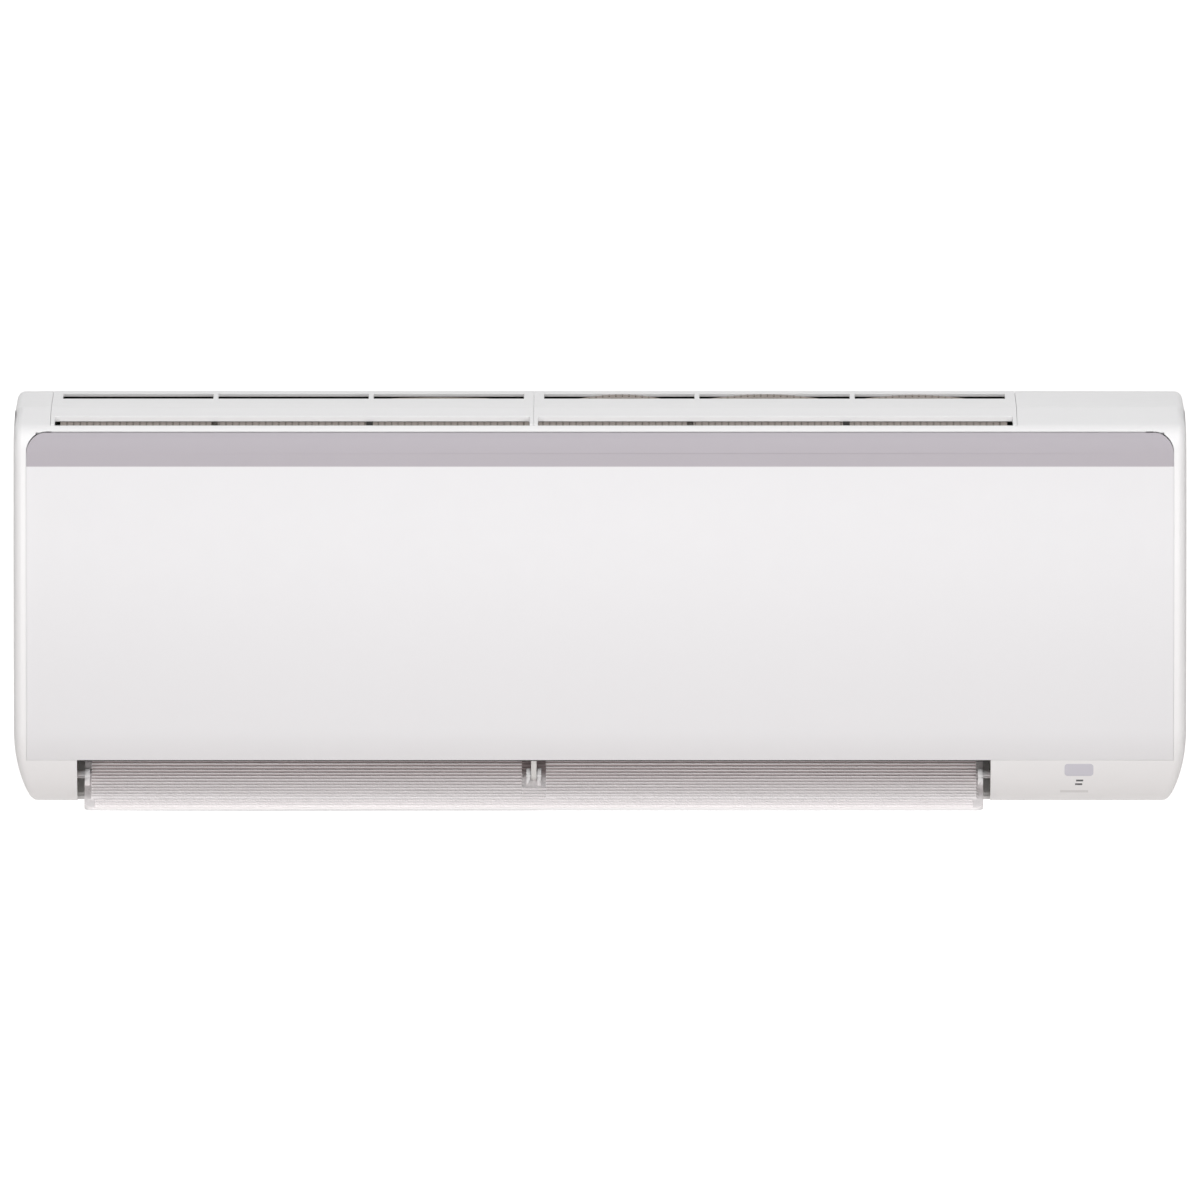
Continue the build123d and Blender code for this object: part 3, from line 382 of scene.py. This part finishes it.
for side in ("left", "right"):
    cover(nodes[f"air_filter_{side}"], filter_shade_plastic)
    low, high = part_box(f"air_filter_{side}")
    start, end = low.x / MM, high.x / MM
    net = bmesh.new()
    net.loops.layers.uv.new("UVMap")
    bmesh.ops.create_grid(net, x_segments=NET_CELLS[0], y_segments=NET_CELLS[1], size=0.5, calc_uvs=True)
    for vert in net.verts:
        x = start + (vert.co.x + 0.5) * (end - start)
        vert.co = at(x, *net_place(x, (vert.co.y + 0.5) * NET_RUN))
    bmesh.ops.recalc_face_normals(net, faces=net.faces)
    for face in net.faces:
        face.smooth = True
    cover(new_piece(f"filter_net_{side}", net, "unit"), net_cloth)
    ribs = [start + NET_RIB_PITCH * i for i in range(1, int((end - start) / NET_RIB_PITCH))]
    net_strips(f"filter_ribs_{side}", ribs, NET_RIB_WIDTH, NET_RIB_RISE, net_rib_plastic)
    bars = [x for x in BARS if start < x < end]
    net_strips(f"filter_shade_bars_{side}", bars, BAR_WIDTH, BAR_RISE, filter_shade_plastic)

# Seal: a near-black strip in a foam finish along the inside of the rear frame's top, which shuts the gap
# behind the
# intake. Its black is painted shade: it makes the dark ground of the intake's slots.
SHADE_FOAM_DARK = (0.008, 0.008, 0.008)
SHADE_FOAM_LIGHT = (0.02, 0.02, 0.02)
FOAM_CELL = 0.8 * MM


def strip(name, ends, depths, heights, rounding, finish):
    mesh = bmesh.new()
    bmesh.ops.create_cube(mesh, size=1)
    for vert in mesh.verts:
        pick = [int(c > 0) for c in vert.co]
        vert.co = at(ends[pick[0]], depths[1 - pick[1]], heights[pick[2]])
    edges = mesh.edges[:]
    bmesh.ops.bevel(mesh, geom=edges, affect="EDGES", offset=rounding, segments=2, profile=0.5, material=-1)
    cover(new_piece(name, mesh, "unit"), finish)


# Near-black foam finish, used as painted shade in both dark strips.
shade_foam_finish, tree, shader = start_finish("black_painted_shade")
cells = grain(tree, FOAM_CELL, detail=4)
tree.links.new(tint(tree, cells, SHADE_FOAM_DARK, SHADE_FOAM_LIGHT), shader.inputs["Base Color"])
shader.inputs["Roughness"].default_value = 0.95
relief(tree, shader, cells, depth=0.3 * MM, strength=0.8)
strip(
    "intake_shade_strip",
    ends=(-412.0, 312.0),
    depths=(8.0, 12.0),
    heights=(283.0, 295.3),
    rounding=0.5 * MM,
    finish=shade_foam_finish,
)

# Casing: the white moulding round the unit, with the panel's recess, the intake and the outlet.
# It is a fine-grained matt plastic, screwed to the rear frame. The solid's own mesh is merged, its top end
# edges are rounded as by the mould, and it gets the true normals of its arcs, so that no facet shows.
CHIN = (152.655, 69.0)
ARC_MIDDLES = (SHOULDER, FRONT_MIDDLE, CHIN)
ON_ARC = 0.1
FACING = 0.99
MERGED = 0.002 * MM
FLAT_ANGLE = math.radians(0.2)
SHARP_ANGLE = math.radians(30)
# The ends draw in over this height, by this much, on an arc.
TAPER_HEIGHT = 58.0
TAPER_SIDE = 13.5
TAPER_R = (TAPER_HEIGHT**2 + TAPER_SIDE**2) / (2 * TAPER_SIDE)
casing_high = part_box("front_casing")[1]
TAPER_MIDDLE = casing_high.x / MM - TAPER_R


def section_out(middle):
    return lambda spot: Vector((0, spot.y / MM + middle[0], spot.z / MM + HALF_HEIGHT - middle[1]))


def taper_out(spot):
    height = spot.z / MM + HALF_HEIGHT
    if height > TAPER_HEIGHT + ON_ARC:
        return Vector()
    return Vector((spot.x / MM - math.copysign(TAPER_MIDDLE, spot.x), 0, height - TAPER_HEIGHT))


# A face whose corners are equally far from the middle of an arc, and which faces along that arc's radius,
# takes the radius at each corner as its normal there.
def true_normals(data):
    normals = [Vector(corner.vector) for corner in data.corner_normals]
    rounds = [section_out(middle) for middle in ARC_MIDDLES] + [taper_out]
    for face in data.polygons:
        for way in rounds:
            out = [way(data.vertices[i].co) for i in face.vertices]
            radius = out[0].length
            facing = face.normal.dot(out[0])
            if all(abs(v.length - radius) < ON_ARC for v in out) and abs(facing) > FACING * radius > 0:
                for loop, normal in zip(face.loop_indices, out):
                    normals[loop] = math.copysign(1, facing) * normal.normalized()
    data.normals_split_custom_set([tuple(n) for n in normals])


# With an edge the copy gets rounded edges of that width, and without one the true normals of its arcs.
# The crease along the top's ridge is too slight to count as sharp by its angle, so it is marked.
def smooth_copy(name, node, edge=0, shape=None):
    mesh = bmesh.new()
    mesh.from_mesh(nodes[node].data)
    bmesh.ops.remove_doubles(mesh, verts=mesh.verts, dist=MERGED)
    if edge:
        bmesh.ops.dissolve_limit(mesh, angle_limit=FLAT_ANGLE, verts=mesh.verts, edges=mesh.edges)
    if shape:
        shape(mesh)
    for face in mesh.faces:
        face.smooth = True
    data = bpy.data.meshes.new(name)
    mesh.to_mesh(data)
    mesh.free()
    data.set_sharp_from_angle(angle=SHARP_ANGLE)
    ridge = at(0, RIDGE, FRAME_TOP)
    for line in data.edges:
        ends = [data.vertices[i].co for i in line.vertices]
        if all(abs(v.y - ridge.y) < ON_ARC * MM and abs(v.z - ridge.z) < ON_ARC * MM for v in ends):
            line.use_edge_sharp = True
    piece = bpy.data.objects.new(name, data)
    scene.collection.objects.link(piece)
    if edge:
        rounding = piece.modifiers.new("rounding", "BEVEL")
        rounding.width = edge
        rounding.segments = 2
        rounding.limit_method = "ANGLE"
        rounding.angle_limit = SHARP_ANGLE
        rounding.harden_normals = True
        rounding.use_clamp_overlap = False
    else:
        true_normals(data)
    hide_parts(node)
    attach(piece, nodes[node]["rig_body"])
    return piece


def cut_across(mesh, x):
    everything = mesh.verts[:] + mesh.edges[:] + mesh.faces[:]
    bmesh.ops.bisect_plane(mesh, geom=everything, plane_co=(x, 0, 0), plane_no=(1, 0, 0))


END_RADIUS = 7.0 * MM
END_START = casing_high.x - END_RADIUS
END_DEGREES = (15, 30, 45, 60, 75)
TOP_WALL = 3 * MM


def round_top_ends(mesh):
    for side in (-1, 1):
        for turn in END_DEGREES:
            cut_across(mesh, side * (END_START + END_RADIUS * math.sin(math.radians(turn))))
    for vert in mesh.verts:
        over = min(abs(vert.co.x) - END_START, END_RADIUS)
        if over > 0 and vert.co.z > casing_high.z - TOP_WALL:
            vert.co.z -= END_RADIUS - math.sqrt(END_RADIUS**2 - over**2)


WHITE = (0.815, 0.81, 0.815)
casing_plastic = moulded_plastic(
    "casing_plastic", WHITE, roughness=0.42, pitch=0.5 * MM, depth=0.01 * MM, drift=0.005
)
casing_shell = smooth_copy("casing_shell", "front_casing", shape=round_top_ends)
cover(casing_shell, casing_plastic)

# Lip web: the casing's inner strip that closes the gap over the panel, under the intake's front lip.
# It is the same white plastic and stops short of the panel's arms at both ends.
strip(
    "lip_web",
    ends=(-414.0, 412.0),
    depths=(206.0, 209.5),
    heights=(281.0, 284.9),
    rounding=0.3 * MM,
    finish=casing_plastic,
)

# Intake grilles: two inserts let into the top, each with three open bays and a turned-down front.
# White plastic; their ends are moved out a little, so that the seams there show as fine as in life.
GRILLE_EDGE = 0.4 * MM
GRILLE_FILL = 0.15 * MM
AT_END = 0.05 * MM


def close_ends(mesh):
    start = min(vert.co.x for vert in mesh.verts)
    end = max(vert.co.x for vert in mesh.verts)
    for vert in mesh.verts:
        if vert.co.x < start + AT_END:
            vert.co.x -= GRILLE_FILL
        elif vert.co.x > end - AT_END:
            vert.co.x += GRILLE_FILL


for side in ("left", "right"):
    grille = smooth_copy(f"grille_{side}", f"intake_grille_{side}", GRILLE_EDGE, shape=close_ends)
    cover(grille, casing_plastic)

# Pipe covers: plates over the pipe openings, low on both sides, snapped into the casing.
# The same white plastic, with rounded rims that leave a fine groove round each plate.
COVER_EDGE = 0.8 * MM
for side in ("left", "right"):
    plate = smooth_copy(f"pipe_plate_{side}", f"pipe_cover_{side}", COVER_EDGE)
    cover(plate, casing_plastic)

# Display: a lilac receiver window, two small dark lamps and a switch bar, let into the chin's right end.
# Smooth plastic, glossier on window and lamps than on the bar.
window_plastic = moulded_plastic("window_plastic", (0.58, 0.57, 0.63), roughness=0.25)
cover(nodes["receiver_window"], window_plastic)
lamp_plastic = moulded_plastic("lamp_plastic", (0.08, 0.08, 0.085), roughness=0.25)
cover(nodes["lamp_lenses"], lamp_plastic)
switch_plastic = moulded_plastic("switch_plastic", (0.66, 0.65, 0.65), roughness=0.4)
cover(nodes["switch_bar"], switch_plastic)

# Outlet seal: a near-black strip in a foam finish under the casing's front wall, over the flap's closed
# edge.
# Its black is painted shade: it makes the dark line between panel and flap.
strip(
    "outlet_shade_strip",
    ends=(-394.0, 294.0),
    depths=(203.4, 206.4),
    heights=(34.5, 37.05),
    rounding=0.3 * MM,
    finish=shade_foam_finish,
)

# Flap: the ribbed blade under the outlet, open as it stands when the unit blows forward, hung on pins.
# White plastic; the grooves between its ribs are tinted brown-grey as painted shade, darkest toward the
# inside under the panel. A value on the mesh says how much: 0 is full painted shade, 1 is the unshaded
# ribbed face and OUTSIDE is the outer face.
FLAP_INNER = (150.7, 42.4)
FLAP_TIP = (204.0, -1.0)
FLAP_HOLLOW_R = 250.0
FLAP_MIDDLE = -50.0
FLAP_HALF = 339.5
FLAP_RIB_RISE = 1.4
# A point is on the ribbed face from this far under the grooves to this far over the ribs.
TOP_SLACK = (0.3, 0.2)
# The ribs leave out a pad round the middle pin and a rim at each end; the mesh is cut just beside them.
PAD_HALF = 9.0
RIM_WIDTH = 5.0
CUT_BESIDE = 0.6
PIN_START = FLAP_HALF + 0.1
# Shares of the way from the flap's inner edge to its tip: where the painted shade in a groove or on the pad
# starts to lift, and over how much of the way it does.
GROOVE_SHADE_LIFTS = (0.25, 0.7)
PAD_SHADE_LIFTS = (0.35, 0.2)
RIM_UNSHADED = 0.75
OUTSIDE = 2
inner, tip = Vector(FLAP_INNER), Vector(FLAP_TIP)
chord = tip - inner
upward = Vector((-chord.y, chord.x)).normalized()
hollow = (inner + tip) / 2 + upward * math.sqrt(FLAP_HOLLOW_R**2 - (chord.length / 2) ** 2)


def shade_lifting(share, stretch):
    return ease((share - stretch[0]) / stretch[1])


# Paints shade on the mesh: grooves dark toward the inner edge, lighter on the pad and rims, full shade on
# the pins.
def paint_groove_shade(mesh):
    for line in (PAD_HALF + CUT_BESIDE, FLAP_HALF - RIM_WIDTH - CUT_BESIDE):
        for side in (-1, 1):
            cut_across(mesh, (FLAP_MIDDLE + side * line) * MM)
    unshaded = mesh.verts.layers.float.new("unshaded")
    for vert in mesh.verts:
        spot = Vector((-vert.co.y / MM, vert.co.z / MM + HALF_HEIGHT))
        lift = FLAP_HOLLOW_R - (spot - hollow).length
        share = (spot - inner).dot(chord) / chord.length_squared
        if -TOP_SLACK[0] < lift < FLAP_RIB_RISE + TOP_SLACK[1]:
            height = min(max(lift / FLAP_RIB_RISE, 0), 1)
            vert[unshaded] = 1 - (1 - height) * (1 - shade_lifting(share, GROOVE_SHADE_LIFTS))
        else:
            vert[unshaded] = OUTSIDE
        away = abs(vert.co.x / MM - FLAP_MIDDLE)
        if away < PAD_HALF + CUT_BESIDE / 2:
            vert[unshaded] = max(vert[unshaded], shade_lifting(share, PAD_SHADE_LIFTS))
        elif away > PIN_START:
            vert[unshaded] = 0
        elif away > FLAP_HALF - RIM_WIDTH - CUT_BESIDE / 2:
            vert[unshaded] = max(vert[unshaded], RIM_UNSHADED)


# Painted shade: this brown-grey stands for the shade in the grooves and under the panel.
GROOVE_SHADE_BROWN = (0.50, 0.41, 0.41)
FLAP_WHITE = (0.90, 0.865, 0.87)
SHADE_TINT_RANGE = (0.1, 0.95)
OUTSIDE_FADE = (1.2, 1.8)
flap_plastic, tree, shader = start_finish("flap_plastic")
shade_mark = tree.nodes.new("ShaderNodeAttribute")
shade_mark.attribute_name = "unshaded"
unshaded_share = between(tree, shade_mark.outputs["Fac"], 0, 1, *SHADE_TINT_RANGE)
outside = between(tree, shade_mark.outputs["Fac"], 0, 1, *OUTSIDE_FADE)
ribbed = tint(tree, unshaded_share, GROOVE_SHADE_BROWN, FLAP_WHITE)
tree.links.new(tint(tree, outside, ribbed, WHITE), shader.inputs["Base Color"])
shader.inputs["Roughness"].default_value = 0.45
flap_blade = smooth_copy("flap_blade", "flap", shape=paint_groove_shade)
cover(flap_blade, flap_plastic)

# Flap tip ribs: the flap's last three ribs, on its front edge, and the stretch of four more that crosses
# the pad under the middle pin. They are one moulding with the blade, in the same white plastic.
TIP_RIBS = (60.1, 63.4, 66.7)
PAD_RIBS = (46.9, 50.2, 53.5, 56.8)
RIB_FOOT = 1.8
RIB_CREST = 0.7
RIB_SINK = 0.3
TIP_INSET = 8.0
tip_ribs = bmesh.new()
# The tip ribs carry no painted shade.
unshaded = tip_ribs.verts.layers.float.new("unshaded")
for reach in PAD_RIBS + TIP_RIBS:
    half_length = PAD_HALF if reach in PAD_RIBS else FLAP_HALF - TIP_INSET
    for vert in bmesh.ops.create_cube(tip_ribs, size=2)["verts"]:
        end, across, up = vert.co
        width, rise = (RIB_CREST, FLAP_RIB_RISE) if up > 0 else (RIB_FOOT, -RIB_SINK)
        share = (reach + across * width / 2) / chord.length
        sag = chord.length_squared / (2 * FLAP_HOLLOW_R) * share * (1 - share)
        spot = inner + chord * share + upward * (rise - sag)
        vert.co = at(FLAP_MIDDLE + end * half_length, *spot)
        vert[unshaded] = 1
bmesh.ops.recalc_face_normals(tip_ribs, faces=tip_ribs.faces)
cover(new_piece("flap_tip_ribs", tip_ribs, "flap"), flap_plastic)

# Front panel: one wide white cover hung on two arms at its top edge, in smooth plastic with a soft shine.
# Its sides and foot are moved out a little, so that the seams round it show as fine as in life.
SEAM_FILL = 0.2 * MM


def close_seams(mesh):
    low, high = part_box("front_panel")
    for vert in mesh.verts:
        if abs(vert.co.x) > high.x - AT_END:
            vert.co.x += math.copysign(SEAM_FILL, vert.co.x)
        if vert.co.z < low.z + AT_END:
            vert.co.z -= SEAM_FILL


panel_plastic = moulded_plastic(
    "panel_plastic", (0.745, 0.74, 0.755), roughness=0.4, drift=0.003, gloss=0.3
)
panel_sheet = smooth_copy("panel_sheet", "front_panel", shape=close_seams)
cover(panel_sheet, panel_plastic)
for side in ("left", "right"):
    cover(nodes[f"panel_arm_{side}"], casing_plastic)

# Band: the mauve-grey strip across the panel's top, covered with a satin film.
# Its top edge is turned up round the shoulder a little, which narrows the seam over it.
TOP_FILL = 0.5
TOP_FADE = 4.0


def raise_top(mesh):
    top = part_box("panel_band")[1].z / MM + HALF_HEIGHT
    for vert in mesh.verts:
        depth, height = -vert.co.y / MM, vert.co.z / MM + HALF_HEIGHT
        share = min(max((height - top + TOP_FADE) / TOP_FADE, 0), 1)
        arm = Vector((depth, height)) - Vector(SHOULDER)
        arm.rotate(Matrix.Rotation(share * TOP_FILL / arm.length, 2))
        vert.co = at(vert.co.x / MM, SHOULDER[0] + arm.x, SHOULDER[1] + arm.y)


band_film = moulded_plastic("band_film", (0.437, 0.409, 0.442), roughness=0.6, drift=0.006, gloss=0.3)
band_strip = smooth_copy("band_strip", "panel_band", shape=raise_top)
cover(band_strip, band_film)

# Studio: a pale floor far below, which is clear when looked at from underneath, an even bright room, and
# soft lamps high in front, low in front and over the top.
FLOOR_DROP = 0.55
FLOOR_HALF = 30
FLOOR_CLOUD = 0.5
FLOOR_DARK = (0.82, 0.78, 0.76)
FLOOR_LIGHT = (0.85, 0.81, 0.79)
FLOOR_GLOW = 0.85
ROOM_LIGHT = 0.3
scene.view_settings.view_transform = "Standard"
drop = Matrix.Translation((0, 0, -FLOOR_DROP))
floor_mesh = bmesh.new()
bmesh.ops.create_grid(floor_mesh, x_segments=2, y_segments=2, size=FLOOR_HALF, matrix=drop)
floor_data = bpy.data.meshes.new("studio_floor")
floor_mesh.to_mesh(floor_data)
floor_mesh.free()
floor = bpy.data.objects.new("studio_floor", floor_data)
scene.collection.objects.link(floor)


def seen_directly(tree):
    path = tree.nodes.new("ShaderNodeLightPath")
    mirrored = greater_of(tree, path.outputs["Is Camera Ray"], path.outputs["Is Glossy Ray"])
    return greater_of(tree, mirrored, path.outputs["Is Transmission Ray"])


floor_finish, tree, shader = start_finish("floor_paint")
tree.links.new(tint(tree, grain(tree, FLOOR_CLOUD), FLOOR_DARK, FLOOR_LIGHT), shader.inputs["Base Color"])
shader.inputs["Roughness"].default_value = 0.9
shader.inputs["Emission Color"].default_value = (1, 1, 1, 1)
glow = between(tree, seen_directly(tree), 0, FLOOR_GLOW, start=0, end=1)
tree.links.new(glow, shader.inputs["Emission Strength"])
underside = tree.nodes.new("ShaderNodeNewGeometry").outputs["Backfacing"]
clear = tree.nodes.new("ShaderNodeBsdfTransparent")
one_way = tree.nodes.new("ShaderNodeMixShader")
tree.links.new(underside, one_way.inputs["Fac"])
tree.links.new(shader.outputs["BSDF"], one_way.inputs[1])
tree.links.new(clear.outputs["BSDF"], one_way.inputs[2])
tree.links.new(one_way.outputs["Shader"], tree.nodes["Material Output"].inputs["Surface"])
cover(floor, floor_finish)

world = bpy.data.worlds.new("studio_room")
world.use_nodes = True
scene.world = world
tree = world.node_tree
backdrop = tree.nodes["Background"]
backdrop.inputs["Color"].default_value = (1, 1, 1, 1)
level = between(tree, seen_directly(tree), ROOM_LIGHT, 1, start=0, end=1)
tree.links.new(level, backdrop.inputs["Strength"])


def soft_lamp(name, size, power, position, aim):
    light = bpy.data.lights.new(name, "AREA")
    light.shape = "RECTANGLE"
    light.size, light.size_y = size
    light.energy = power
    lamp = bpy.data.objects.new(name, light)
    lamp.location = position
    lamp.rotation_euler = (Vector(aim) - Vector(position)).to_track_quat("-Z", "Y").to_euler()
    scene.collection.objects.link(lamp)


soft_lamp("front_softbox", size=(3.0, 1.2), power=36, position=(0, -1.75, 2.75), aim=(0, -0.2, 0))
soft_lamp("low_softbox", size=(3.0, 0.4), power=42, position=(0, -3.2, 0.14), aim=(0, -0.2, 0))
soft_lamp("top_softbox", size=(3.0, 1.0), power=17, position=(0, -0.5, 2.6), aim=(0, -0.1, 0))

# Camera: very far in front and a little above, so that the view is almost without perspective.
# The frame is as wide as in the photograph.
CAMERA_AIM = Vector((0, -0.2, 0.007))
CAMERA_RISE = math.radians(5.05)
CAMERA_AWAY = 30.0
CAMERA_SIGHT = 200
FRAME_WIDTH = 0.9061
camera_data = bpy.data.cameras.new("camera")
camera_data.sensor_width = 36
camera_data.lens = camera_data.sensor_width * CAMERA_AWAY / FRAME_WIDTH
camera_data.clip_end = CAMERA_SIGHT
camera = bpy.data.objects.new("camera", camera_data)
camera.location = CAMERA_AIM + CAMERA_AWAY * Vector((0, -math.cos(CAMERA_RISE), math.sin(CAMERA_RISE)))
camera.rotation_euler = (CAMERA_AIM - camera.location).to_track_quat("-Z", "Y").to_euler()
scene.collection.objects.link(camera)
scene.camera = camera
